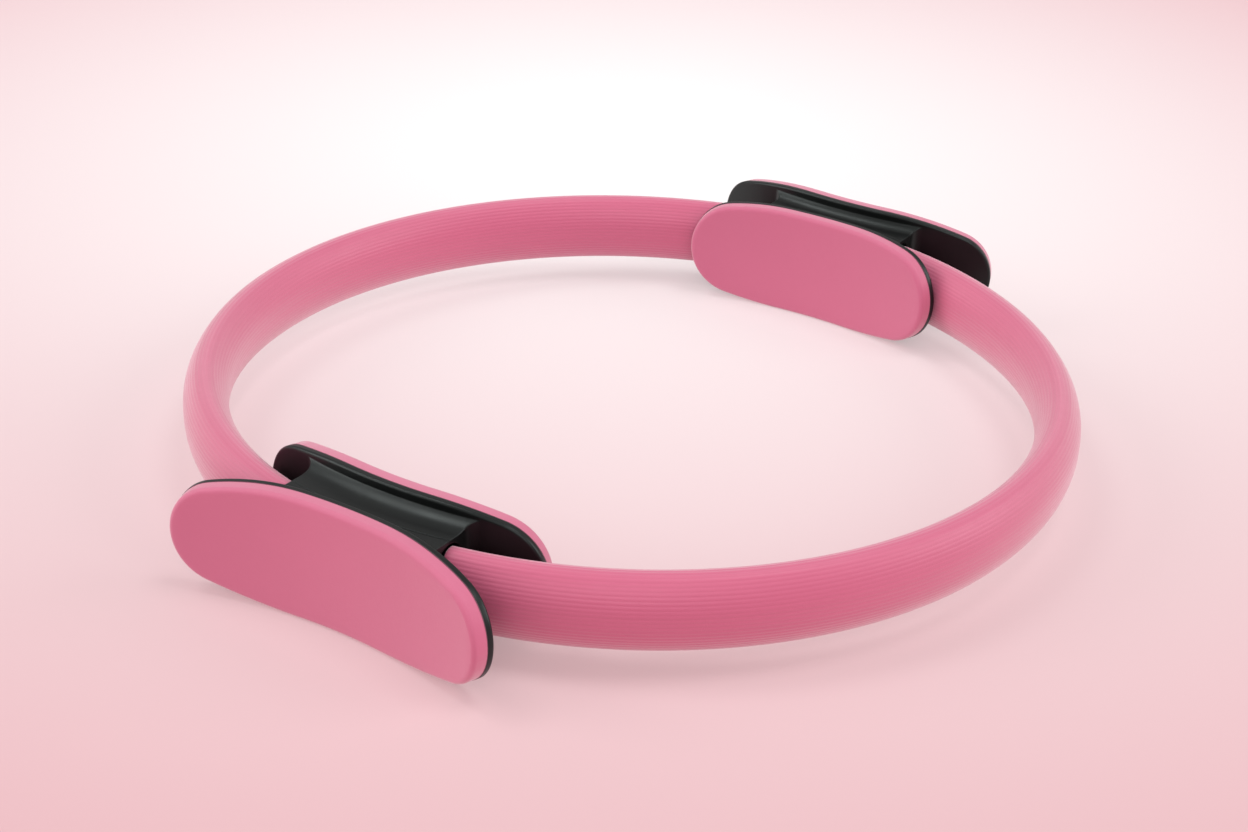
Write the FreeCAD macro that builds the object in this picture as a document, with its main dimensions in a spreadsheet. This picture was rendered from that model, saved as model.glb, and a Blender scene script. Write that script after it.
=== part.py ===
"""A pilates ring: a sprung hoop in foam sleeves with two padded handles.

The hoop's axis is Z and the ring lies flat, with the resting plane at z = 0 and the axis through the origin.
The handles sit on the Y axis, one in front (-Y) and one at the back (+Y). Every piece is drawn as part of the
back handle or the right half of the hoop, about the plane z = 0, and is then turned about Z into its place
and lifted by half of the handle's height. All sizes are millimetres.
"""
import FreeCAD, Part
import math
import os
import Sketcher

DRIVING = {
    # hoop: two spring leaves one inside the other on each side, in a foam sleeve
    "hoop_diameter": 380,
    "sleeve_width": 18.8,
    "sleeve_height": 32,
    "sleeve_end_radius": 6,
    "sleeve_flat": 2.4,
    "leaf_width": 22,
    "leaf_thickness": 1.2,
    "leaf_gap": 0.2,
    "leaf_fit": 0.3,
    "leaf_end_gap": 6,
    # handle: two curved oval plates back to back on a waist, with a foam pad on each. The round of a plate's
    # end is given as a share of half of the handle's height
    "handle_depth": 37.2,
    "handle_set_in": 3.5,
    "edge_flat": 28,
    "outer_length": 143,
    "outer_end_share": 0.804,
    "outer_curve_radius": 209,
    "inner_length": 127,
    "inner_end_share": 0.902,
    "inner_curve_radius": 200,
    "pad_thickness": 5.8,
    "pad_edge_radius": 1.8,
    "tape_thickness": 0.3,
    "plate_thickness": 2.8,
    "rim_radius": 1.1,
    # waist between the plates, parted along the hoop, with a mouth for a sleeve at each end. Its ends flare out
    # to the plates. The plates stand over it, and its hollow rises to them by a share of that step's least height
    "waist_length": 74,
    "waist_flare": 5,
    "plate_overhang": 6.7,
    "trough_share": 0.55,
    "outer_trough_reach": 5.6,
    "inner_trough_reach": 8,
    "parting_gap": 0.1,
    "mouth_depth": 5,
    "mouth_play": 1.2,
    "mouth_wall": 1.6,
    "sleeve_insert": 0.6,
    # screws that clamp the shells on the leaves' ends, from under the inner pad
    "screw_diameter": 3,
    "screw_point": 2.5,
    "screw_head_diameter": 5.6,
    "screw_head_height": 2,
    "screw_head_recess": 0.3,
    "screw_slot_length": 3.6,
    "screw_slot_width": 0.8,
    "screw_slot_depth": 1.1,
    "screw_play": 0.1,
    "screw_hole_play": 0.4,
    "screw_tip_cover": 1.5,
    "screw_near": 12,
    "screw_far": 25,
    # spare length on cutting shapes and blocks
    "spare": 5,
}

WORKED = {
    "waist_top": "sleeve_height / 2 + mouth_play + mouth_wall",
    "half_height": "waist_top + plate_overhang",
    "half_flat": "edge_flat / 2",
    "hoop_radius": "hoop_diameter / 2 - sleeve_width / 2",
    "handle_middle": "hoop_radius - handle_set_in",
    "half_waist": "waist_length / 2",
    "trough_sweep": "4 * asin(outer_length / (2 * outer_curve_radius))",
    "stack_half": "leaf_thickness + leaf_gap / 2",
    "slot_half_width": "stack_half + leaf_fit",
    "slot_half_height": "leaf_width / 2 + leaf_fit",
    "mouth_start": "asin((half_waist - mouth_depth) / hoop_radius)",
    "mouth_end": "asin((half_waist + waist_flare + spare) / hoop_radius)",
    "sleeve_start": "asin((half_waist - sleeve_insert) / hoop_radius)",
    "sleeve_sweep": "90 deg - sleeve_start",
    "leaf_start": "asin(leaf_end_gap / 2 / hoop_radius)",
    "leaf_sweep": "180 deg - 2 * leaf_start",
    "screw_radius": "screw_diameter / 2",
    "screw_head_top": "inner_axis + inner_plate_radius + screw_head_recess",
    "screw_seat": "screw_head_top + screw_head_height",
    "screw_tip": "outer_axis - outer_plate_radius - screw_tip_cover",
    "screw_length": "screw_tip - screw_seat",
}

SIDES = {"outer": 1, "inner": -1}
HANDLES = {"front": 180, "back": 0}
HOOP_HALVES = {"right": 0, "left": 180}
# shares along an edge where it is tested for rounding, and how close to an arc counts as on it
EDGE_SHARES = (0.1, 0.5, 0.9)
ON_ARC = 1e-3
# the least volume in cubic millimetres that a cut has to remove
LEAST_CUT = 1


def side_values(side, sign):
    """Where the arcs of one plate, its tape and its pad lie, and the block that they are cut from."""
    return {
        f"{side}_axis": f"handle_middle + {sign} * (handle_depth / 2 + {side}_curve_radius)",
        f"{side}_tape_radius": f"{side}_curve_radius + pad_thickness",
        f"{side}_plate_radius": f"{side}_tape_radius + tape_thickness",
        f"{side}_back_radius": f"{side}_plate_radius + plate_thickness",
        f"{side}_half": f"{side}_length / 2",
        f"{side}_end_radius": f"{side}_end_share * half_height",
        f"{side}_end": f"sqrt({side}_curve_radius ^ 2 - {side}_half ^ 2)",
        f"{side}_rake": f"{side}_half / {side}_end",
        f"{side}_near": f"{side}_end - spare",
        f"{side}_far": f"{side}_curve_radius + handle_depth",
        f"{side}_near_shift": f"({side}_near - {side}_end) * {side}_rake",
        f"{side}_far_shift": f"({side}_far - {side}_end) * {side}_rake",
        f"{side}_flare_reach": f"sqrt(({side}_back_radius + waist_flare) ^ 2 - (half_waist + waist_flare) ^ 2)",
        f"{side}_flare_share": f"{side}_back_radius / ({side}_back_radius + waist_flare)",
    }


def trough_values(side):
    """The height of a plate's edge over the end of the waist, and the hollow from the waist up to the plate."""
    shift = f"(sqrt({side}_back_radius ^ 2 - half_waist ^ 2) - {side}_end) * {side}_rake"
    run = f"(half_waist - half_flat - {shift})"
    shoulder = f"{side}_oval_shoulder"
    return {
        f"{side}_waist_edge": f"half_height - {shoulder} + sqrt({shoulder} ^ 2 - {run} ^ 2)",
        f"{side}_trough": f"trough_share * ({side}_waist_edge - waist_top)",
        f"{side}_trough_radius": f"({side}_trough_reach ^ 2 + {side}_trough ^ 2) / (2 * {side}_trough)",
    }


def oval_values(name, half_length, half_width, end_radius, half_flat):
    """The shoulder radius and tangent points of an oval of two flats, four shoulders and two round ends."""
    run = f"({half_length} - {end_radius} - {half_flat})"
    shoulder, gap = f"{name}_shoulder", f"({name}_shoulder - {end_radius})"
    return {
        shoulder: f"({run} ^ 2 + {half_width} ^ 2 - {end_radius} ^ 2) / (2 * ({half_width} - {end_radius}))",
        f"{name}_along": f"{half_length} - {end_radius} + {end_radius} * {run} / {gap}",
        f"{name}_across": f"{end_radius} * ({shoulder} - {half_width}) / {gap}",
        f"{name}_end_radius": end_radius,
        f"{name}_half_width": half_width,
        f"{name}_half_flat": half_flat,
    }


doc = FreeCAD.newDocument("PilatesRing")
sheet = doc.addObject("Spreadsheet::Sheet", "Sizes")


def fill_sheet():
    """Writes the driving dimensions as plain numbers, then the values worked out from them as formulas."""
    worked = dict(WORKED)
    for side, sign in SIDES.items():
        worked.update(side_values(side, sign))
        shift = f"{side}_near_shift"
        worked.update(oval_values(f"{side}_oval", f"({side}_half + {shift})", "half_height",
                                  f"{side}_end_radius", f"(half_flat + {shift})"))
        worked.update(trough_values(side))
    worked.update(oval_values("sleeve_oval", "(sleeve_height / 2)", "(sleeve_width / 2)",
                              "sleeve_end_radius", "sleeve_flat / 2"))
    worked.update(oval_values("mouth_oval", "(sleeve_height / 2 + mouth_play)",
                              "(sleeve_width / 2 + mouth_play)",
                              "(sleeve_end_radius + mouth_play)", "sleeve_flat / 2"))
    cells = [(name, str(value)) for name, value in DRIVING.items()]
    cells += [(name, "=" + formula) for name, formula in worked.items()]
    for row, (name, content) in enumerate(cells, start=1):
        sheet.set(f"A{row}", name)
        sheet.set(f"B{row}", content)
        sheet.setAlias(f"B{row}", name)
    doc.recompute()


def bound(expression):
    """The expression with every name of the sheet written as the sheet's own."""
    words = []
    word = ""
    for letter in expression + " ":
        if letter.isalnum() or letter == "_":
            word += letter
            continue
        known = word and sheet.getCellFromAlias(word)
        words.append(f"Sizes.{word}" if known else word)
        words.append(letter)
        word = ""
    return "".join(words).strip()


def number(expression):
    """The value of an expression in the sheet's names."""
    value = sheet.evalExpression(bound(expression))
    return float(getattr(value, "Value", value))


def bind(item, path, expression):
    item.setExpression(path, bound(expression))


def new_body(label):
    body = doc.addObject("PartDesign::Body", label)
    body.Label = label
    return body


def origin_item(body, role):
    return next(item for item in body.Origin.OriginFeatures if item.Role == role)


def new_sketch(body, name, role, offset=None, turn=None):
    """A sketch on one of the body's origin planes, moved in that plane's axes and turned about its upright."""
    sketch = body.newObject("Sketcher::SketchObject", name)
    sketch.AttachmentSupport = (origin_item(body, role), "")
    sketch.MapMode = "FlatFace"
    if turn:
        sketch.AttachmentOffset = FreeCAD.Placement(
            FreeCAD.Vector(), FreeCAD.Rotation(FreeCAD.Vector(0, -1, 0), number(turn)))
        bind(sketch, "AttachmentOffset.Rotation.Angle", turn)
    for axis, expression in (offset or {}).items():
        bind(sketch, f"AttachmentOffset.Base.{axis}", expression)
    return sketch


def hold_point(sketch, geometry, point, x, y):
    """Binds both coordinates of a sketch point."""
    for kind, axis, expression in (("DistanceX", -2, x), ("DistanceY", -1, y)):
        if expression == "0":
            sketch.addConstraint(Sketcher.Constraint("PointOnObject", geometry, point, axis))
            continue
        rule = Sketcher.Constraint(kind, -1, 1, geometry, point, number(expression))
        bind(sketch, f"Constraints[{sketch.addConstraint(rule)}]", expression)


def hold_radius(sketch, geometry, radius):
    rule = Sketcher.Constraint("Radius", geometry, number(radius))
    bind(sketch, f"Constraints[{sketch.addConstraint(rule)}]", radius)


def draw_circle(sketch, x, y, radius):
    centre = FreeCAD.Vector(number(x), number(y))
    geometry = sketch.addGeometry(Part.Circle(centre, FreeCAD.Vector(0, 0, 1), number(radius)))
    if x == "0" and y == "0":
        sketch.addConstraint(Sketcher.Constraint("Coincident", geometry, 3, -1, 1))
    else:
        hold_point(sketch, geometry, 3, x, y)
    hold_radius(sketch, geometry, radius)


def arc_between(start, end, radius, turn):
    """The shorter arc from start to end, turning left (1) or right (-1)."""
    if turn < 0:
        start, end = end, start
    chord = end - start
    rise = math.sqrt(radius ** 2 - (chord.Length / 2) ** 2)
    left = FreeCAD.Vector(-chord.y, chord.x).normalize()
    centre = (start + end) / 2 + left * rise
    first = math.atan2(start.y - centre.y, start.x - centre.x)
    last = math.atan2(end.y - centre.y, end.x - centre.x)
    return Part.ArcOfCircle(Part.Circle(centre, FreeCAD.Vector(0, 0, 1), radius), first, last)


def draw_outline(sketch, corners, arcs=None):
    """A closed outline. Each edge runs from its corner to the next, as a line or as an arc (radius, turn)."""
    arcs = arcs or {}
    points = [FreeCAD.Vector(number(x), number(y)) for x, y in corners]
    ends = []
    for index, start in enumerate(points):
        end = points[(index + 1) % len(points)]
        if index in arcs:
            radius, turn = arcs[index]
            geometry = sketch.addGeometry(arc_between(start, end, number(radius), turn))
            ends.append((geometry, 1, 2) if turn > 0 else (geometry, 2, 1))
        else:
            ends.append((sketch.addGeometry(Part.LineSegment(start, end)), 1, 2))
    for index, (x, y) in enumerate(corners):
        geometry, first, _ = ends[index]
        before, _, last = ends[index - 1]
        sketch.addConstraint(Sketcher.Constraint("Coincident", before, last, geometry, first))
        hold_point(sketch, geometry, first, x, y)
    for index, (radius, _) in arcs.items():
        hold_radius(sketch, ends[index][0], radius)


def draw_rectangle(sketch, half_x, half_y):
    draw_outline(sketch, [(f"-({half_x})", f"-({half_y})"), (half_x, f"-({half_y})"),
                          (half_x, half_y), (f"-({half_x})", half_y)])


def draw_oval(sketch, name):
    """The oval that the sheet holds under this name, standing along the sketch's Y."""
    flat, wide = f"{name}_half_flat", f"{name}_half_width"
    along, across = f"{name}_along", f"{name}_across"
    corners = [(f"-({wide})", f"-({flat})"), (f"-({wide})", flat), (f"-({across})", along), (across, along),
               (wide, flat), (wide, f"-({flat})"), (across, f"-({along})"), (f"-({across})", f"-({along})")]
    shoulder, end = (f"{name}_shoulder", -1), (f"{name}_end_radius", -1)
    draw_outline(sketch, corners, {1: shoulder, 2: end, 3: shoulder, 5: shoulder, 6: end, 7: shoulder})


def cut_through(body, name, sketch, both_ways=True):
    """A pocket through everything, both ways, or from a sketch on XZ only towards the hoop's axis."""
    pocket = body.newObject("PartDesign::Pocket", name)
    pocket.Profile = sketch
    pocket.Type = "ThroughAll"
    if both_ways:
        pocket.SideType = "Symmetric"
    else:
        pocket.Reversed = True
    return pocket


def sweep_about(body, kind, name, sketch, axis, angle):
    """A revolution or groove about an axis, half of its angle on each side of the sketch."""
    feature = body.newObject(f"PartDesign::{kind}", name)
    feature.Profile = sketch
    feature.ReferenceAxis = axis
    feature.Midplane = True
    bind(feature, "Angle", angle)
    return feature


def mirror(body, name, feature, role):
    copy = body.newObject("PartDesign::Mirrored", name)
    copy.Originals = [feature]
    copy.MirrorPlane = (origin_item(body, role), [""])
    body.Tip = copy
    return copy


def round_edges(body, name, base, radius, chosen):
    """Rounds the edges of the base feature whose points the test chooses."""
    doc.recompute()
    names = []
    for index, edge in enumerate(base.Shape.Edges, start=1):
        low, high = edge.ParameterRange
        points = [edge.valueAt(low + (high - low) * share) for share in EDGE_SHARES]
        if all(chosen(point) for point in points):
            names.append(f"Edge{index}")
    fillet = body.newObject("PartDesign::Fillet", name)
    fillet.Base = (base, names)
    bind(fillet, "Radius", radius)
    return fillet


def on_arc(side, radius):
    """A test for points on one of a side's upright arcs."""
    axis, reach = number(f"{side}_axis"), number(radius)
    return lambda point: abs(math.hypot(point.x, point.y - axis) - reach) < ON_ARC


def place(item, turn):
    """Turns a finished piece about the hoop's axis and lifts it on to the resting plane."""
    item.Placement = FreeCAD.Placement(
        FreeCAD.Vector(), FreeCAD.Rotation(FreeCAD.Vector(0, 0, 1), number(turn)))
    bind(item, "Placement.Rotation.Angle", turn)
    bind(item, "Placement.Base.z", "half_height")
    return item


def handle_block(body, side):
    """A raked oval block that one side's pad, tape or plate is cut from, from the pad's front to the hoop."""
    sign = SIDES[side]
    near_flat, far_flat = f"{side}_oval_half_flat", f"(half_flat + {side}_far_shift)"
    near, far = f"{-sign} * {side}_near", f"{-sign} * {side}_far"
    plan = new_sketch(body, f"{body.Name}_middle_line", "XY_Plane", {"y": f"{side}_axis"})
    draw_outline(plan, [(f"-{near_flat}", near), (near_flat, near), (far_flat, far), (f"-{far_flat}", far)])
    middle = body.newObject("PartDesign::Pad", f"{body.Name}_middle")
    middle.Profile = plan
    middle.SideType = "Symmetric"
    bind(middle, "Length", "2 * half_height")

    outline = new_sketch(body, f"{body.Name}_end_line", "XZ_Plane", {"z": f"-({side}_axis + {near})"})
    along, across = f"{side}_oval_along", f"{side}_oval_across"
    shoulder, round_end = (f"{side}_oval_shoulder", 1), (f"{side}_oval_end_radius", 1)
    draw_outline(outline, [(near_flat, "-half_height"), (along, f"-{across}"), (along, across),
                           (near_flat, "half_height")], {0: shoulder, 1: round_end, 2: shoulder})
    end = body.newObject("PartDesign::Pad", f"{body.Name}_end_block")
    end.Profile = outline
    end.UseCustomVector = True
    end.AlongSketchNormal = True
    end.Direction = FreeCAD.Vector(number(f"{side}_rake"), -sign, 0)
    bind(end, "Direction.x", f"{side}_rake")
    bind(end, "Length", f"{side}_far - {side}_near")
    return mirror(body, f"{body.Name}_block", end, "YZ_Plane")


def curved_layer(body, side, front, back):
    """Cuts the block down to the layer between two arcs about the side's axis."""
    handle_block(body, side)
    sketch = new_sketch(body, f"{body.Name}_arcs", "XY_Plane", {"y": f"{side}_axis"})
    reach = f"({side}_far + spare)"
    draw_rectangle(sketch, reach, reach)
    draw_circle(sketch, "0", "0", back)
    draw_circle(sketch, "0", "0", front)
    return cut_through(body, f"{body.Name}_layer", sketch)


def build_pad(label, side):
    """A foam slab of even thickness with a concave face and a softened front edge."""
    body = new_body(label)
    layer = curved_layer(body, side, f"{side}_curve_radius", f"{side}_tape_radius")
    round_edges(body, f"{label}_edge", layer, "pad_edge_radius", on_arc(side, f"{side}_curve_radius"))
    return body


def build_tape(label, side):
    """The film between a pad and its plate."""
    body = new_body(label)
    curved_layer(body, side, f"{side}_tape_radius", f"{side}_plate_radius")
    return body


def cut_plate(body, side):
    """Cuts the block to a curved plate with half of the waist on its back, up to the parting along the hoop."""
    sign = SIDES[side]
    handle_block(body, side)
    front = new_sketch(body, f"{body.Name}_face", "XY_Plane", {"y": f"{side}_axis"})
    draw_circle(front, "0", "0", f"{side}_plate_radius")
    cut_through(body, f"{body.Name}_front", front)

    behind = new_sketch(body, f"{body.Name}_behind", "XY_Plane", {"y": f"{side}_axis"})
    back, deep = f"{side}_back_radius", f"({side}_far + spare)"
    wide = f"({side}_half + {side}_far_shift + spare)"
    share = f"{side}_flare_share"
    corners = [("half_waist", f"{-sign} * {side}_flare_reach"),
               ("half_waist", f"{-sign} * {deep}"), (wide, f"{-sign} * {deep}"),
               (wide, f"{-sign} * sqrt({back} ^ 2 - {wide} ^ 2)"),
               (f"(half_waist + waist_flare) * {share}", f"{-sign} * {side}_flare_reach * {share}")]
    draw_outline(behind, corners, {3: (back, -sign), 4: ("waist_flare", sign)})
    mirror(body, f"{body.Name}_ends", cut_through(body, f"{body.Name}_end", behind), "YZ_Plane")

    parting = new_sketch(body, f"{body.Name}_parting_line", "XY_Plane")
    draw_circle(parting, "0", "0", f"hoop_radius + {sign} * parting_gap / 2")
    if side == "inner":
        reach = "(hoop_diameter / 2 + handle_depth)"
        draw_rectangle(parting, reach, reach)
    cut_through(body, f"{body.Name}_parting", parting)


def cut_trough(body, side):
    """Lowers the waist's top and bottom below the plate's edges, in a hollow that rises to the plate."""
    sign = SIDES[side]
    sketch = new_sketch(body, f"{body.Name}_trough_line", "YZ_Plane", {"x": f"{side}_axis"})
    back, deep, high = f"{side}_back_radius", f"({side}_far + spare)", "(half_height + spare)"
    corners = [(f"{-sign} * {back}", f"waist_top + {side}_trough"),
               (f"{-sign} * ({back} + {side}_trough_reach)", "waist_top"),
               (f"{-sign} * {deep}", "waist_top"), (f"{-sign} * {deep}", high), (f"{-sign} * {back}", high)]
    draw_outline(sketch, corners, {0: (f"{side}_trough_radius", -sign)})
    trough = sweep_about(body, "Groove", f"{body.Name}_trough", sketch, (sketch, ["V_Axis"]), "trough_sweep")
    return mirror(body, f"{body.Name}_troughs", trough, "XY_Plane")


def cut_mouths(body):
    """A mouth for a sleeve in each end of the waist, and the way through for the leaves."""
    upright = (origin_item(body, "Z_Axis"), [""])
    middle = "(mouth_start + mouth_end) / 2"
    mouth = new_sketch(body, f"{body.Name}_mouth_line", "YZ_Plane",
                       {"x": f"hoop_radius * cos({middle})", "z": f"hoop_radius * sin({middle})"}, middle)
    draw_oval(mouth, "mouth_oval")
    groove = sweep_about(body, "Groove", f"{body.Name}_mouth", mouth, upright, "mouth_end - mouth_start")
    mirror(body, f"{body.Name}_mouths", groove, "YZ_Plane")
    slot = new_sketch(body, f"{body.Name}_slot_line", "YZ_Plane", {"x": "hoop_radius"})
    draw_rectangle(slot, "slot_half_width", "slot_half_height")
    return sweep_about(body, "Groove", f"{body.Name}_slot", slot, upright, "2 * mouth_end")


def cut_screw_holes(body, name, radius, level=None):
    """A row of four holes along Y, through everything or from a level towards the hoop's axis."""
    sketch = new_sketch(body, f"{body.Name}_{name}_line", "XZ_Plane", {"z": f"-({level})"} if level else None)
    for place_x in ("screw_near", "screw_far"):
        for x in (place_x, f"-({place_x})"):
            draw_circle(sketch, x, "0", radius)
    return cut_through(body, f"{body.Name}_{name}", sketch, both_ways=level is None)


def round_rim(body, side, base):
    """Softens the plate's back edge all round, but not where the waist grows out of it."""
    on_back = on_arc(side, f"{side}_back_radius")
    waist_end = number(f"(half_waist + waist_flare) * {side}_flare_share") + ON_ARC
    waist_edge = number(f"waist_top + {side}_trough") + ON_ARC
    return round_edges(body, f"{body.Name}_rim", base, "rim_radius",
                       lambda point: on_back(point) and (abs(point.x) > waist_end or abs(point.z) > waist_edge))


def build_shell(label, side):
    """One of a handle's two shells: a plate, half of the waist, half of each mouth and the screw holes."""
    body = new_body(label)
    cut_plate(body, side)
    cut_trough(body, side)
    cut_mouths(body)
    if side == "inner":
        cut_screw_holes(body, "holes", "screw_radius + screw_hole_play / 2")
        last = cut_screw_holes(body, "seats", "(screw_head_diameter + screw_hole_play) / 2", "screw_seat")
    else:
        last = cut_screw_holes(body, "pilots", "screw_radius + screw_play", "screw_tip + screw_play")
    round_rim(body, side, last)
    return body


def build_screw(name, x):
    """A self-tapping screw, head towards the hoop's axis."""
    body = new_body(name)
    profile = new_sketch(body, f"{name}_profile", "XZ_Plane")
    top, head = "(screw_length + screw_head_height)", "screw_head_diameter / 2"
    draw_outline(profile, [("0", "0"), ("screw_radius", "screw_point"), ("screw_radius", "screw_length"),
                           (head, "screw_length"), (head, top), ("0", top)])
    turned = body.newObject("PartDesign::Revolution", f"{name}_turned")
    turned.Profile = profile
    turned.ReferenceAxis = (profile, ["V_Axis"])
    for index, (wide, deep) in enumerate((("length", "width"), ("width", "length"))):
        slot = new_sketch(body, f"{name}_slot_line{index}", "XY_Plane", {"z": top})
        draw_rectangle(slot, f"screw_slot_{wide} / 2", f"screw_slot_{deep} / 2")
        pocket = body.newObject("PartDesign::Pocket", f"{name}_slot{index}")
        pocket.Profile = slot
        bind(pocket, "Length", "screw_slot_depth")
    body.Placement = FreeCAD.Placement(
        FreeCAD.Vector(), FreeCAD.Rotation(FreeCAD.Vector(1, 0, 0), 90))
    bind(body, "Placement.Base.x", x)
    bind(body, "Placement.Base.y", "screw_tip")
    return body


def build_screws(label):
    """The four screws of one handle as a group."""
    group = doc.addObject("Part::Compound", label)
    group.Label = label
    places = ("screw_near", "-screw_near", "screw_far", "-screw_far")
    group.Links = [build_screw(f"{label}_{index}", x) for index, x in enumerate(places)]
    return group


def build_sleeve(label):
    """A quarter of the foam tube, with a slot for the leaves, centred on +X."""
    body = new_body(label)
    sketch = new_sketch(body, f"{label}_section", "XZ_Plane", {"x": "hoop_radius"})
    draw_oval(sketch, "sleeve_oval")
    draw_rectangle(sketch, "slot_half_width", "slot_half_height")
    upright = (origin_item(body, "Z_Axis"), [""])
    sweep_about(body, "Revolution", f"{label}_tube", sketch, upright, "sleeve_sweep")
    return body


def build_leaf(label, layer):
    """A flat spring half hoop, outside (1) or inside (-1) the hoop's middle, with screw holes at its ends."""
    body = new_body(label)
    sketch = new_sketch(body, f"{label}_section", "XZ_Plane",
                        {"x": f"hoop_radius + {layer} * (leaf_gap + leaf_thickness) / 2"})
    draw_rectangle(sketch, "leaf_thickness / 2", "leaf_width / 2")
    upright = (origin_item(body, "Z_Axis"), [""])
    sweep_about(body, "Revolution", f"{label}_strip", sketch, upright, "leaf_sweep")
    holes = new_sketch(body, f"{label}_hole_line", "XZ_Plane")
    for x in ("screw_near", "screw_far"):
        draw_circle(holes, x, "0", "screw_radius + screw_hole_play / 2")
    cut_through(body, f"{label}_holes", holes)
    return body


def build_handles():
    """Both handles, each turned to its end of the ring."""
    pieces = []
    for handle, turn in HANDLES.items():
        made = []
        for side in SIDES:
            made.append(build_shell(f"{handle}_{side}_shell", side))
            made.append(build_tape(f"{handle}_{side}_pad_tape", side))
            made.append(build_pad(f"{handle}_{side}_pad", side))
        made.append(build_screws(f"{handle}_screws"))
        pieces += [place(item, f"{turn} deg") for item in made]
    return pieces


def build_hoop():
    """Two leaves a side, and four quarter sleeves that meet at the ring's sides."""
    pieces = []
    for hand, turn in HOOP_HALVES.items():
        for layer, sign in SIDES.items():
            pieces.append(place(build_leaf(f"{hand}_{layer}_leaf", sign), f"{turn} deg"))
        towards_back = 1 if hand == "right" else -1
        for end, way in (("front", -towards_back), ("back", towards_back)):
            sleeve = build_sleeve(f"{hand}_{end}_sleeve")
            pieces.append(place(sleeve, f"{turn} deg + {way} * sleeve_sweep / 2"))
    return pieces


def check_document(pieces):
    """Stops if an object failed, a piece is empty or broken, or a cut removed nothing."""
    for item in doc.Objects:
        if {"Invalid", "Error"} & set(item.State):
            raise RuntimeError(f"{item.Name} failed: {item.State}")
        if item.TypeId in ("PartDesign::Pocket", "PartDesign::Groove"):
            if item.Shape.Volume > item.BaseFeature.Shape.Volume - LEAST_CUT:
                raise RuntimeError(f"{item.Name} cuts nothing")
    for piece in pieces:
        if piece.Shape.isNull() or not piece.Shape.isValid():
            raise RuntimeError(f"{piece.Label} has no sound shape")


fill_sheet()
pieces = build_handles() + build_hoop()
doc.recompute()
check_document(pieces)
os.makedirs("parts", exist_ok=True)
for piece in pieces:
    piece.Shape.exportStep(f"parts/{piece.Label}.step")
    print(f"{piece.Label}: {len(piece.Shape.Solids)} solids, {piece.Shape.Volume / 1000:.2f} cm3")
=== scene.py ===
# %% [markdown]
# # Dressing a pilates ring
# The ring is a sprung hoop in two ribbed foam sleeves, with a padded handle at the front and one at the
# back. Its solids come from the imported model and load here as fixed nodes. Everything new is made
# around them, in the same frame and in metres, so a piece goes where the solids say and nothing has to
# be fitted by eye.

# %% Load the frame
import math

import bmesh
import bpy
from mathutils import Matrix, Vector


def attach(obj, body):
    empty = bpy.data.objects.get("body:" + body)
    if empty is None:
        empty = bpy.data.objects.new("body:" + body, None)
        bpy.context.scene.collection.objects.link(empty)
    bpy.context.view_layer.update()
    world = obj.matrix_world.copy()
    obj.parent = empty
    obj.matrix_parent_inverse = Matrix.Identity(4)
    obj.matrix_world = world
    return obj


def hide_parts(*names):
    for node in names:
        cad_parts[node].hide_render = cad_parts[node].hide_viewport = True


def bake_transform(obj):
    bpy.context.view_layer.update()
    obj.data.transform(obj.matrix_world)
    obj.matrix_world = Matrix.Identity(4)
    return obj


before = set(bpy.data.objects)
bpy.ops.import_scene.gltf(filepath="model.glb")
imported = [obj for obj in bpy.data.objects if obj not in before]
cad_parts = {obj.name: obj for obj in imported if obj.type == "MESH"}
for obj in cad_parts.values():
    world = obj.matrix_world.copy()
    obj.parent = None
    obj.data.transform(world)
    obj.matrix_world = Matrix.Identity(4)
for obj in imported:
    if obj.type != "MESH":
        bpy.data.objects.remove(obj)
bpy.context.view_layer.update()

# %% [markdown]
# ## The camera
# The view is from above the front, about 32 degrees round to the right and 26 degrees up. A camera can
# be aimed at a point with a constraint, but this view also leans by two degrees. So the camera's own
# axes are worked out from its place, its aim and its roll, and become its matrix.

# %% Camera
CAMERA_DISTANCE = 0.9443
CAMERA_AZIMUTH = math.radians(32.34)
CAMERA_ELEVATION = math.radians(26.319)
CAMERA_ROLL = math.radians(2.207)
CAMERA_LENS, SENSOR_WIDTH = 63.32, 36
AIM_RIGHT, AIM_UP = -0.0035, -0.0141
HOOP_HEIGHT = 0.0255

turn = Matrix.Rotation(CAMERA_AZIMUTH, 3, "Z")
back = turn @ Vector((0, -math.cos(CAMERA_ELEVATION), math.sin(CAMERA_ELEVATION)))
side = turn @ Vector((1, 0, 0))
aim = (-back + AIM_RIGHT * side + AIM_UP * side.cross(-back)).normalized()
level_right = aim.cross(Vector((0, 0, 1))).normalized()
right = Matrix.Rotation(-CAMERA_ROLL, 3, aim) @ level_right
up = right.cross(aim)
camera_place = Matrix.Translation(back * CAMERA_DISTANCE + Vector((0, 0, HOOP_HEIGHT)))
camera_axes = Matrix((right, up, -aim)).transposed().to_4x4()

camera = bpy.data.objects.new("camera", bpy.data.cameras.new("camera"))
camera.data.lens = CAMERA_LENS
camera.data.sensor_width = SENSOR_WIDTH
camera.matrix_world = camera_place @ camera_axes
bpy.context.scene.collection.objects.link(camera)
bpy.context.scene.camera = camera
bpy.context.scene.view_settings.view_transform = "Standard"
print("camera at", [round(v, 3) for v in camera.matrix_world.translation])

# %% [markdown]
# ## Helpers for finishes
# Each finish is a procedural material: a Principled shader with noise in its colour, its gloss and its
# bump. A few helpers keep the node code short. Patterns sit on Object coordinates, which are the ring's
# own metres, so a grain has the same size on every piece. A Mix node keeps a set of sockets for each
# kind of value under the same names, so its colour sockets are picked by their numbers.

# %% Finish helpers
MIX_FACTOR, MIX_FIRST, MIX_SECOND, MIX_RESULT = 0, 6, 7, 2


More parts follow.
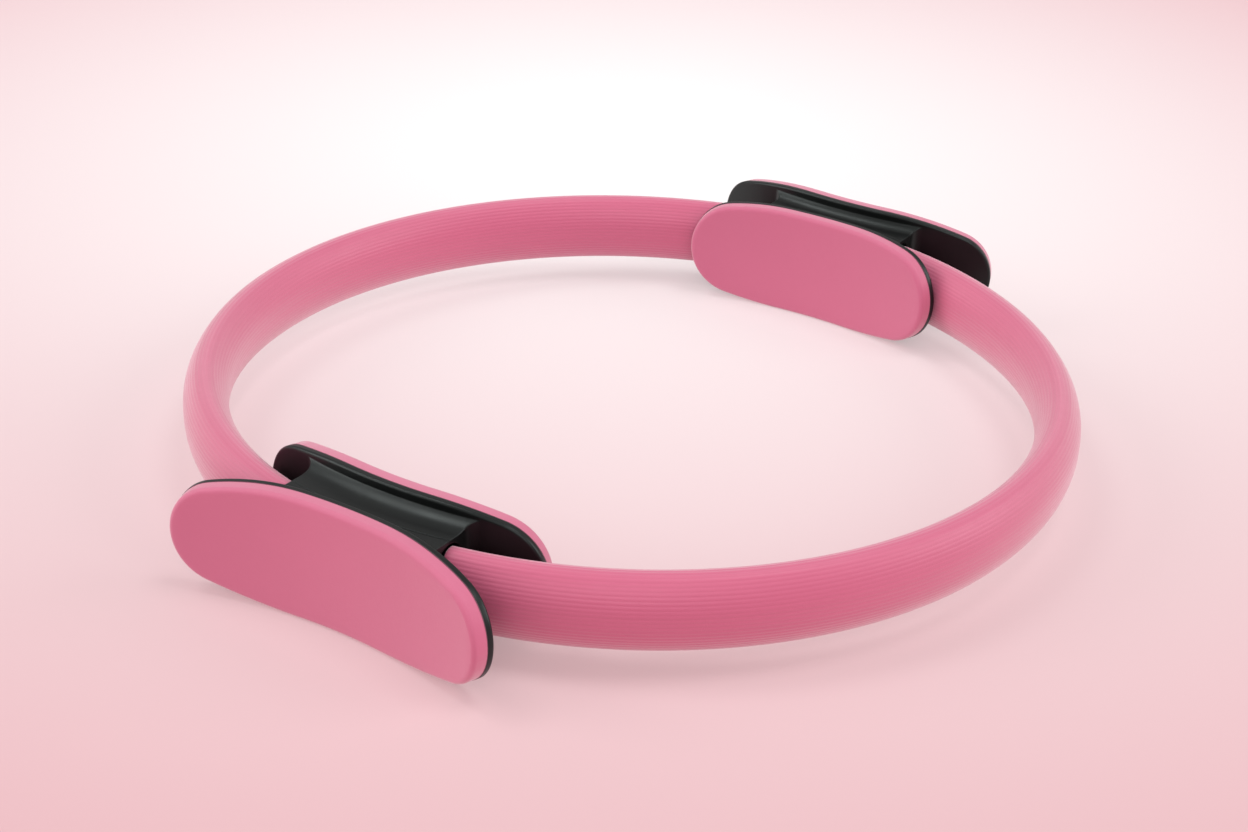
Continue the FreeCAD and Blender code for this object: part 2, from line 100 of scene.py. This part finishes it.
def new_finish(name, colour, roughness):
    """A material with plain values on its shader, which noise may then vary."""
    finish = bpy.data.materials.new(name)
    finish.use_nodes = True
    shader = finish.node_tree.nodes["Principled BSDF"]
    shader.inputs["Base Color"].default_value = (*colour, 1)
    shader.inputs["Roughness"].default_value = roughness
    return finish, shader


def add_node(finish, kind, values=None, links=None):
    """A node with some sockets set to values and others linked to other nodes' outputs."""
    node = finish.node_tree.nodes.new(kind)
    for socket, value in (values or {}).items():
        node.inputs[socket].default_value = value
    for socket, source in (links or {}).items():
        finish.node_tree.links.new(source, node.inputs[socket])
    return node


def object_noise(finish, scale, detail=2, stretch=(1, 1, 1)):
    """Noise in the ring's own metres, stretched along an axis where a pattern runs that way."""
    place = add_node(finish, "ShaderNodeTexCoord")
    mapping = add_node(finish, "ShaderNodeMapping", {"Scale": stretch}, {"Vector": place.outputs["Object"]})
    noise = add_node(finish, "ShaderNodeTexNoise", {"Scale": scale, "Detail": detail},
                     {"Vector": mapping.outputs["Vector"]})
    return noise.outputs["Fac"]


def between(finish, factor, low, high):
    """A number from low to high as the factor goes from 0 to 1."""
    node = add_node(finish, "ShaderNodeMapRange", {"To Min": low, "To Max": high}, {"Value": factor})
    return node.outputs["Result"]


def mix_colours(finish, factor, first, second):
    """A colour between two, each of them a colour or another node's output."""
    node = finish.node_tree.nodes.new("ShaderNodeMix")
    node.data_type = "RGBA"
    finish.node_tree.links.new(factor, node.inputs[MIX_FACTOR])
    for socket, colour in ((MIX_FIRST, first), (MIX_SECOND, second)):
        if isinstance(colour, tuple):
            node.inputs[socket].default_value = (*colour, 1)
        else:
            finish.node_tree.links.new(colour, node.inputs[socket])
    return node.outputs[MIX_RESULT]


def set_from(finish, shader, socket, source):
    """Links another node's output to one of the shader's sockets."""
    finish.node_tree.links.new(source, shader.inputs[socket])


def add_bump(finish, shader, height, strength, distance):
    """Bumps the shader's surface by a height, and gives back the bump node."""
    bump = add_node(finish, "ShaderNodeBump", {"Strength": strength, "Distance": distance},
                    {"Height": height})
    set_from(finish, shader, "Normal", bump.outputs["Normal"])
    return bump


print("finish helpers ready")

# %% [markdown]
# ## Helpers for pieces
# A piece is modelled in a bmesh and then becomes an object at the origin. Its faces are smooth, and its
# edges are sharp only where two faces meet at a wide angle. The sleeve's section and the pads' outline
# are the same kind of oval: two short flats, four wide shoulders and two round ends. A circle's
# vertices can be moved on to it one by one if the oval gives its point, and the way out from it, at
# each share of the way round.

# %% Piece helpers
def finish_piece(name, bm, finish, sharp_from=60):
    """Makes the bmesh an object of the scene with one finish."""
    bmesh.ops.recalc_face_normals(bm, faces=bm.faces[:])
    mesh = bpy.data.meshes.new(name)
    bm.to_mesh(mesh)
    bm.free()
    mesh.shade_smooth()
    mesh.set_sharp_from_angle(angle=math.radians(sharp_from))
    mesh.materials.append(finish)
    piece = bpy.data.objects.new(name, mesh)
    bpy.context.scene.collection.objects.link(piece)
    print(name, "has", len(mesh.polygons), "faces")
    return piece


def oval_point(share, half_length, half_width, end_radius, half_flat):
    """The point and the outward direction at a share of the way round an oval, as (along, across)."""
    run = half_length - end_radius - half_flat
    shoulder = (run ** 2 + half_width ** 2 - end_radius ** 2) / (2 * (half_width - end_radius))
    end_turn = math.acos(run / (shoulder - end_radius))
    flat_way, shoulder_way = half_flat, shoulder * (math.pi / 2 - end_turn)
    quarter, rest = divmod(share * 4, 1)
    way = (flat_way + shoulder_way + end_radius * end_turn) * (rest if quarter % 2 == 0 else 1 - rest)
    if way < flat_way:
        centre, radius, angle = Vector((way, 0)), half_width, math.pi / 2
    elif way < flat_way + shoulder_way:
        centre, radius = Vector((half_flat, half_width - shoulder)), shoulder
        angle = math.pi / 2 - (way - flat_way) / shoulder
    else:
        centre, radius = Vector((half_length - end_radius, 0)), end_radius
        angle = end_turn - (way - flat_way - shoulder_way) / end_radius
    out = Vector((math.cos(angle), math.sin(angle)))
    signs = ((1, 1), (1, -1), (-1, -1), (-1, 1))[int(quarter) % 4]
    point = centre + radius * out
    return Vector((point.x * signs[0], point.y * signs[1])), Vector((out.x * signs[0], out.y * signs[1]))


print("piece helpers ready")

# %% [markdown]
# ## Sleeve foam
# The sleeves are soft closed-cell foam, dyed pink right through, with fine ribs along the tube. The
# skin of such foam scatters a pale veil at the rims, which a sheen gives. The ribs are real geometry.
# Each vertex also carries how high it lies on its rib and a tone for that rib, so the grooves get a
# painted shade, darker than the tops of the ribs, and no two ribs are quite alike.

# %% Sleeve finish
SLEEVE_PINK = (0.60, 0.112, 0.215)
# the darker pink is the painted shade in the grooves, and also the random tone of some ribs and patches
SLEEVE_TONE_AND_GROOVE_SHADE = (0.50, 0.083, 0.167)


def vertex_value(finish, name):
    """A number that the piece's vertices carry."""
    node = add_node(finish, "ShaderNodeAttribute")
    node.attribute_name = name
    return node.outputs["Fac"]


sleeve_finish, shader = new_finish("ribbed_pink_foam", SLEEVE_PINK, roughness=0.45)
# painted shade: the grooves between the ribs are mixed towards the darker pink, and the tops of the ribs
# stay pink
groove_shade_mask = between(sleeve_finish, vertex_value(sleeve_finish, "rib_height"), low=0.78, high=1)
ribbed = mix_colours(sleeve_finish, groove_shade_mask, SLEEVE_TONE_AND_GROOVE_SHADE, SLEEVE_PINK)
tones = between(sleeve_finish, vertex_value(sleeve_finish, "rib_tone"), low=0, high=0.12)
toned = mix_colours(sleeve_finish, tones, ribbed, SLEEVE_TONE_AND_GROOVE_SHADE)
patches = between(sleeve_finish, object_noise(sleeve_finish, scale=45), low=0, high=0.14)
mottled = mix_colours(sleeve_finish, patches, toned, SLEEVE_TONE_AND_GROOVE_SHADE)
set_from(sleeve_finish, shader, "Base Color", mottled)
dullness = between(sleeve_finish, object_noise(sleeve_finish, scale=260), low=0.38, high=0.52)
set_from(sleeve_finish, shader, "Roughness", dullness)
cells = object_noise(sleeve_finish, scale=2600, detail=3)
add_bump(sleeve_finish, shader, cells, strength=0.25, distance=0.0002)
shader.inputs["Sheen Weight"].default_value = 0.6
shader.inputs["Sheen Roughness"].default_value = 0.5
print("made", sleeve_finish.name)

# %% [markdown]
# ## The ribbed sleeves
# On each side one foam tube runs from handle to handle over the spring leaves. The section is a circle
# whose vertices are moved on to the oval, with a shallow groove between each two ribs, and a spin about
# the hoop's axis sweeps it round. The solids hold each sleeve as two rigid quarters. Here it is one
# tube in their place.

# %% Sleeve section
HOOP_RADIUS = 0.1806
SLEEVE_OVAL = {"half_length": 0.016, "half_width": 0.0094, "end_radius": 0.006, "half_flat": 0.0012}
RIBS, RIB_POINTS, RIB_DEPTH = 48, 6, 0.00010
TONE_STEP, TONE_SPREAD = 12.9898, 43758.5453


def rib_tone_of(rib):
    """A tone between 0 and 1 that changes from rib to rib and is the same each run."""
    return (math.sin(rib * TONE_STEP) * TONE_SPREAD) % 1


def sleeve_section(bm):
    """The tube's ribbed section, upright on the +X side of the hoop, its rib values on the vertices."""
    height = bm.verts.layers.float.new("rib_height")
    tone = bm.verts.layers.float.new("rib_tone")
    section = bmesh.ops.create_circle(bm, segments=RIBS * RIB_POINTS, radius=1)
    for index, vert in enumerate(section["verts"]):
        share = index / (RIBS * RIB_POINTS)
        groove = 1 - abs(math.sin(math.pi * RIBS * share))
        point, out = oval_point(share, **SLEEVE_OVAL)
        point -= out * RIB_DEPTH * groove
        vert.co = (HOOP_RADIUS + point.y, 0, HOOP_HEIGHT + point.x)
        vert[height] = 1 - groove
        vert[tone] = rib_tone_of(index // RIB_POINTS)


print("a sleeve's section has", RIBS, "ribs")

# %% Sleeves
SLEEVE_FROM_MIDDLE = 0.0364
SLEEVE_SWEEP = math.pi - 2 * math.asin(SLEEVE_FROM_MIDDLE / HOOP_RADIUS)
SLEEVE_STEPS = 96
END_ROUND, END_STEPS = 0.0011, 3
SIDES_OF_HOOP = {"right": 1, "left": -1}


def make_sleeve(name, middle):
    """A sleeve swept round the hoop's axis, as far to one side of its middle angle as to the other."""
    bm = bmesh.new()
    sleeve_section(bm)
    start = Matrix.Rotation(middle - SLEEVE_SWEEP / 2, 3, "Z")
    bmesh.ops.rotate(bm, verts=bm.verts[:], cent=(0, 0, 0), matrix=start)
    bmesh.ops.spin(bm, geom=bm.verts[:] + bm.edges[:], cent=(0, 0, 0), axis=(0, 0, 1), angle=SLEEVE_SWEEP,
                   steps=SLEEVE_STEPS)
    rims = [edge for edge in bm.edges if edge.is_boundary]
    bmesh.ops.holes_fill(bm, edges=rims)
    bmesh.ops.recalc_face_normals(bm, faces=bm.faces[:])
    bmesh.ops.bevel(bm, geom=rims, offset=END_ROUND, segments=END_STEPS, profile=0.5, affect="EDGES",
                    material=-1)
    return finish_piece(name, bm, sleeve_finish)


def bend_with_hoop(piece):
    """Bakes the piece's placement into its mesh and leaves the object at the origin."""
    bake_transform(piece)


for hand, way in SIDES_OF_HOOP.items():
    sleeve = make_sleeve(f"{hand}_sleeve", middle=0 if way > 0 else math.pi)
    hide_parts(f"{hand}_front_sleeve", f"{hand}_back_sleeve")
    bend_with_hoop(sleeve)

# %% [markdown]
# ## Spring steel
# The leaves are cold-rolled strip, so faint lines run along the steel. Noise gives them when it is
# squeezed in height, and drives both the gloss and the tone.

# %% Steel finish
STEEL_GREY, STEEL_DARK, STEEL_BRIGHT = (0.42, 0.43, 0.45), (0.36, 0.37, 0.39), (0.48, 0.49, 0.5)
leaf_finish, shader = new_finish("rolled_steel", STEEL_GREY, roughness=0.34)
shader.inputs["Metallic"].default_value = 1
lines = object_noise(leaf_finish, scale=60, detail=3, stretch=(0.2, 0.2, 60))
set_from(leaf_finish, shader, "Roughness", between(leaf_finish, lines, low=0.24, high=0.44))
set_from(leaf_finish, shader, "Base Color", mix_colours(leaf_finish, lines, STEEL_DARK, STEEL_BRIGHT))
print("made", leaf_finish.name)

# %% [markdown]
# ## The spring leaves
# Two steel strips lie one inside the other in each sleeve. They are hidden at rest, but a rigid strip
# would cut through the foam when the ring bends, and through the shells that clamp its ends. So copies
# of the solids stand for them, cut where a strip leaves the handle. The long stretch lies along the
# sleeve, and the two clamped ends stay with the handles. A hair's gap is left at each cut.

# %% Spring leaves
LEAF_BEND, LEAF_BEND_PLAY = 0.0365, 0.0006
LEAF_SHARP_FROM = 30
MERGE_WITHIN, ON_CUT_WITHIN = 1e-6, 1e-7
HANDLE_SIDES = {"front": -1, "back": 1}


def cut_leaf(node, cuts):
    """A merged copy of a leaf's solid without what lies beyond each cut, closed where it was cut."""
    bm = bmesh.new()
    bm.from_mesh(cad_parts[node].data)
    bmesh.ops.remove_doubles(bm, verts=bm.verts[:], dist=MERGE_WITHIN)
    for place, beyond in cuts:
        bmesh.ops.bisect_plane(bm, geom=bm.verts[:] + bm.edges[:] + bm.faces[:], dist=ON_CUT_WITHIN,
                               plane_co=place, plane_no=beyond, clear_outer=True)
    bmesh.ops.holes_fill(bm, edges=[edge for edge in bm.edges if edge.is_boundary])
    return bm


def leaf_piece(name, bm, node):
    """A stretch of steel that stands for part of a leaf's solid."""
    leaf = finish_piece(name, bm, leaf_finish, sharp_from=LEAF_SHARP_FROM)
    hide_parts(node)
    return leaf


for hand, way in SIDES_OF_HOOP.items():
    out_of_handle = Vector((way, 0, 0))
    for layer in ("outer", "inner"):
        node = f"{hand}_{layer}_leaf"
        strip = cut_leaf(node, [(out_of_handle * (LEAF_BEND + LEAF_BEND_PLAY), -out_of_handle)])
        bend_with_hoop(leaf_piece(f"{node}_strip", strip, node))
        for handle, handle_side in HANDLE_SIDES.items():
            clamped = cut_leaf(node, [(out_of_handle * (LEAF_BEND - LEAF_BEND_PLAY), out_of_handle),
                                      (Vector(), Vector((0, -handle_side, 0)))])
            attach(leaf_piece(f"{node}_{handle}_end", clamped, node), f"{handle}_handle")

# %% [markdown]
# ## Pad foam
# The pads are cut from denser foam with a smooth skin. Close up the skin has a very fine grain, in its
# colour and in its bump, and a slow change of tone runs across the pad. All three are noise of
# different sizes.

# %% Pad finish
PAD_PINK = (0.60, 0.130, 0.236)
PAD_SHADE = (0.52, 0.102, 0.195)
pad_finish, shader = new_finish("smooth_pink_foam", PAD_PINK, roughness=0.55)
drift = between(pad_finish, object_noise(pad_finish, scale=28), low=0, high=0.35)
slow = mix_colours(pad_finish, drift, PAD_PINK, PAD_SHADE)
specks = between(pad_finish, object_noise(pad_finish, scale=1800), low=0, high=0.22)
set_from(pad_finish, shader, "Base Color", mix_colours(pad_finish, specks, slow, PAD_SHADE))
dullness = between(pad_finish, object_noise(pad_finish, scale=420), low=0.46, high=0.64)
set_from(pad_finish, shader, "Roughness", dullness)
grain = object_noise(pad_finish, scale=1900, detail=4)
add_bump(pad_finish, shader, grain, strength=0.2, distance=0.00025)
shader.inputs["Sheen Weight"].default_value = 0.5
shader.inputs["Sheen Roughness"].default_value = 0.5
print("made", pad_finish.name)

# %% [markdown]
# ## The pads
# A pad is a slab of foam, die-cut to an oval and stuck on its curved plate, so its face is hollow along
# the pad and its edge is soft. It is drawn flat: a circle moved on to the oval, pushed back to the
# pad's thickness, with its front rim beveled round. Cuts across and along give the faces that the bend
# needs. Then every vertex is rolled on to the plate's arc, with a slight crown that foam keeps between
# its edges.

# %% Flat pads
PAD_OVALS = {
    "outer": {"half_length": 0.0715, "half_width": 0.0255, "end_radius": 0.0205, "half_flat": 0.014},
    "inner": {"half_length": 0.0635, "half_width": 0.0255, "end_radius": 0.0230, "half_flat": 0.014},
}
PAD_ARCS = {"outer": 0.209, "inner": 0.200}
PAD_THICKNESS = 0.0058
PAD_POINTS, PAD_ROUND, PAD_ROUND_STEPS = 144, 0.0020, 5
ROLL_ROUNDS = 6
ON_FACE_WITHIN = 1e-6


def rolled_length(along, arc, oval):
    """How far along the arc the oval's edge lies on the hollow face, because the pad's walls are raked."""
    half_length = oval["half_length"]
    reach = math.sqrt(arc ** 2 - half_length ** 2)
    rake = min(1, abs(along) / oval["half_flat"])
    x = abs(along)
    for _ in range(ROLL_ROUNDS):
        x = abs(along) + (math.sqrt(arc ** 2 - x ** 2) - reach) * half_length / reach * rake
    return math.copysign(arc * math.asin(x / arc), along)


def flat_pad(side):
    """The pad before it is bent: X along it, Y back from its face and Z up."""
    oval, arc = PAD_OVALS[side], PAD_ARCS[side]
    bm = bmesh.new()
    outline = bmesh.ops.create_circle(bm, cap_ends=True, segments=PAD_POINTS, radius=1)
    for index, vert in enumerate(outline["verts"]):
        point, _ = oval_point((index + 0.5) / PAD_POINTS, **oval)
        vert.co = (rolled_length(point.x, arc, oval), 0, point.y)
    pushed = bmesh.ops.extrude_face_region(bm, geom=bm.faces[:])
    back_verts = [item for item in pushed["geom"] if isinstance(item, bmesh.types.BMVert)]
    bmesh.ops.translate(bm, verts=back_verts, vec=(0, PAD_THICKNESS, 0))
    rim = [edge for edge in bm.edges if all(vert.co.y < ON_FACE_WITHIN for vert in edge.verts)]
    bmesh.ops.bevel(bm, geom=rim, offset=PAD_ROUND, segments=PAD_ROUND_STEPS, profile=0.5, affect="EDGES",
                    material=-1)
    return bm


print("pads are", [2 * oval["half_length"] for oval in PAD_OVALS.values()], "metres long")

# %% Bent pads
CUTS_ALONG, CUTS_ACROSS = 44, 14
CUT_OVERRUN, CUT_SNAP = 1.04, 2e-5
PAD_CROWN = 0.0003
HANDLE_MIDDLE, HANDLE_DEPTH = 0.1771, 0.0372
HANDLE_TURNS = {"front": math.pi, "back": 0}
SIDE_SIGNS = {"outer": 1, "inner": -1}


def cut_pad(bm, oval):
    """Cuts the pad across and along, so that it can bend. Flat, it is a little longer than its oval."""
    for count, reach, normal in ((CUTS_ALONG, oval["half_length"] * CUT_OVERRUN, Vector((1, 0, 0))),
                                 (CUTS_ACROSS, oval["half_width"], Vector((0, 0, 1)))):
        for cut in range(1, count):
            place = normal * reach * (2 * cut / count - 1)
            bmesh.ops.bisect_plane(bm, geom=bm.verts[:] + bm.edges[:] + bm.faces[:], dist=CUT_SNAP,
                                   plane_co=place, plane_no=normal)


def roll_pad(bm, side, handle):
    """Rolls the flat pad on to its plate's arc and puts it on its handle."""
    sign, arc, oval = SIDE_SIGNS[side], PAD_ARCS[side], PAD_OVALS[side]
    axis = HANDLE_MIDDLE + sign * (HANDLE_DEPTH / 2 + arc)
    for vert in bm.verts:
        along, deep, high = vert.co
        from_ends = max(0, 1 - (along / oval["half_length"]) ** 2)
        from_sides = max(0, 1 - (high / oval["half_width"]) ** 2)
        radius = arc + deep - PAD_CROWN * from_ends * from_sides * (1 - deep / PAD_THICKNESS)
        angle = along / arc
        vert.co = (radius * math.sin(angle), axis - sign * radius * math.cos(angle), HOOP_HEIGHT + high)
    handle_turn = Matrix.Rotation(HANDLE_TURNS[handle], 3, "Z")
    bmesh.ops.rotate(bm, verts=bm.verts[:], cent=(0, 0, 0), matrix=handle_turn)


for handle in HANDLE_TURNS:
    for side in SIDE_SIGNS:
        bm = flat_pad(side)
        cut_pad(bm, PAD_OVALS[side])
        roll_pad(bm, side, handle)
        pad = finish_piece(f"{handle}_{side}_foam_pad", bm, pad_finish)
        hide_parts(f"{handle}_{side}_pad")
        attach(pad, f"{handle}_handle")

# %% [markdown]
# ## Black plastic
# The shells are moulded in black plastic with a fine spark-eroded skin, half matt. The solids already
# have the right shape and smooth normals, so they stay and only get a finish: almost black, with a
# slightly uneven gloss and a grain too fine to see from a step away, which spreads the highlights along
# the waist. A Bevel node under the grain turns the normals near an edge, so that the moulded edges
# catch the light softly. The plastic reflects a little less than most, and less red than green, which
# keeps the pink around it out of the black.

# %% Plastic finish
PLASTIC_BLACK = (0.006, 0.006, 0.006)
PLASTIC_DARK, PLASTIC_PALE = (0.003, 0.0035, 0.0034), (0.006, 0.0066, 0.0064)
EDGE_SOFTNESS, EDGE_RAYS = 0.0008, 8
plastic_finish, shader = new_finish("black_moulded_plastic", PLASTIC_BLACK, roughness=0.34)
cloud = object_noise(plastic_finish, scale=70, detail=3)
set_from(plastic_finish, shader, "Roughness", between(plastic_finish, cloud, low=0.26, high=0.42))
clouded = mix_colours(plastic_finish, cloud, PLASTIC_DARK, PLASTIC_PALE)
set_from(plastic_finish, shader, "Base Color", clouded)
skin = object_noise(plastic_finish, scale=3200)
bump = add_bump(plastic_finish, shader, skin, strength=0.12, distance=0.0001)
soft_edge = add_node(plastic_finish, "ShaderNodeBevel", {"Radius": EDGE_SOFTNESS})
soft_edge.samples = EDGE_RAYS
plastic_finish.node_tree.links.new(soft_edge.outputs["Normal"], bump.inputs["Normal"])
shader.inputs["Specular IOR Level"].default_value = 0.36
shader.inputs["Specular Tint"].default_value = (0.90, 1, 0.98, 1)


def dress(ending, finish):
    """Gives every node with this ending its finish."""
    dressed = [node for name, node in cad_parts.items() if name.endswith(ending)]
    for node in dressed:
        node.data.materials.clear()
        node.data.materials.append(finish)
    print(finish.name, "on", len(dressed), "nodes")


dress("_shell", plastic_finish)

# %% [markdown]
# ## Film and screws
# Under each pad is a double-sided film, seen only as a hair line round the plate. The screws are zinc
# plated and lie hidden under the inner pads. Both keep their solids and get small finishes of their
# own.

# %% Film finish
FILM_PINK, FILM_DARK, FILM_PALE = (0.16, 0.05, 0.075), (0.13, 0.04, 0.06), (0.19, 0.06, 0.09)
film_finish, shader = new_finish("adhesive_film", FILM_PINK, roughness=0.5)
dullness = between(film_finish, object_noise(film_finish, scale=300), low=0.4, high=0.6)
set_from(film_finish, shader, "Roughness", dullness)
fibres = object_noise(film_finish, scale=900)
set_from(film_finish, shader, "Base Color", mix_colours(film_finish, fibres, FILM_DARK, FILM_PALE))
dress("_pad_tape", film_finish)

# %% Screw finish
ZINC_GREY, ZINC_DARK, ZINC_BRIGHT = (0.62, 0.61, 0.58), (0.52, 0.51, 0.5), (0.7, 0.68, 0.63)
zinc_finish, shader = new_finish("zinc_plate", ZINC_GREY, roughness=0.32)
shader.inputs["Metallic"].default_value = 1
spangle = object_noise(zinc_finish, scale=700)
set_from(zinc_finish, shader, "Roughness", between(zinc_finish, spangle, low=0.22, high=0.42))
set_from(zinc_finish, shader, "Base Color", mix_colours(zinc_finish, spangle, ZINC_DARK, ZINC_BRIGHT))
dress("_screws", zinc_finish)

# %% [markdown]
# ## Floor and light
# The ring lies on a pale floor that is nearly white behind it and blushes pink further out. The floor
# glows, as a light table does, so the shadows stay soft. The rest is soft light in an even pale world:
# a little from overhead, more from the camera's side, and from the left and the right to lift the sides
# of the hoop. Two narrower lamps, high on the left and on the right, give the streak along the handles'
# waists and the gleam on the sleeves. They are all sun lamps, because unlike panels these light the
# whole floor evenly, from any view.

# %% Floor
FLOOR_HALF, FLOOR_ROUGHNESS = 6, 0.75
FLOOR_WHITE, FLOOR_PINK = (0.518, 0.524, 0.521), (0.40, 0.243, 0.259)
WHITE_CENTRE, BLUSH_REACH = (-0.20, 0.30, 0), 0.68
FLOOR_GLOW = 0.85
floor_finish, shader = new_finish("pale_floor", FLOOR_WHITE, FLOOR_ROUGHNESS)
place = add_node(floor_finish, "ShaderNodeTexCoord")
shifted = add_node(floor_finish, "ShaderNodeVectorMath", {1: WHITE_CENTRE}, {0: place.outputs["Object"]})
shifted.operation = "SUBTRACT"
away = add_node(floor_finish, "ShaderNodeVectorMath", links={0: shifted.outputs["Vector"]})
away.operation = "LENGTH"
blush = add_node(floor_finish, "ShaderNodeMapRange", {"From Max": BLUSH_REACH},
                 {"Value": away.outputs["Value"]})
blushed = mix_colours(floor_finish, blush.outputs["Result"], FLOOR_WHITE, FLOOR_PINK)
set_from(floor_finish, shader, "Base Color", blushed)
set_from(floor_finish, shader, "Emission Color", blushed)
shader.inputs["Emission Strength"].default_value = FLOOR_GLOW
bm = bmesh.new()
bmesh.ops.create_grid(bm, x_segments=1, y_segments=1, size=FLOOR_HALF)
floor = finish_piece("floor", bm, floor_finish)

# %% Lights
# where each lamp shines from, its strength, and the angle that it fills in degrees
SOFT_LIGHTS = {
    "overhead": ((0.0, 0.1, 2.0), 0.06, 62),
    "by_camera": ((0.9, -1.5, 1.1), 0.80, 40),
    "left": ((-1.4, -0.9, 0.8), 1.03, 36),
    "right": ((1.4, 0.9, 0.8), 1.00, 36),
    "high_left": ((-0.95, -0.2, 1.74), 0.50, 20),
    "high_right": ((0.55, 0.25, 1.9), 0.66, 24),
}
WORLD_COLOUR, WORLD_STRENGTH = (1, 0.96, 0.96, 1), 0.5
for name, (from_side, strength, spread) in SOFT_LIGHTS.items():
    light = bpy.data.objects.new(f"{name}_light", bpy.data.lights.new(f"{name}_light", "SUN"))
    light.data.energy = strength
    light.data.angle = math.radians(spread)
    light.rotation_euler = (-Vector(from_side)).to_track_quat("-Z", "Y").to_euler()
    bpy.context.scene.collection.objects.link(light)

world = bpy.data.worlds.new("soft_world")
world.use_nodes = True
sky = world.node_tree.nodes["Background"]
sky.inputs["Color"].default_value = WORLD_COLOUR
sky.inputs["Strength"].default_value = WORLD_STRENGTH
bpy.context.scene.world = world
print("lights:", ", ".join(SOFT_LIGHTS))
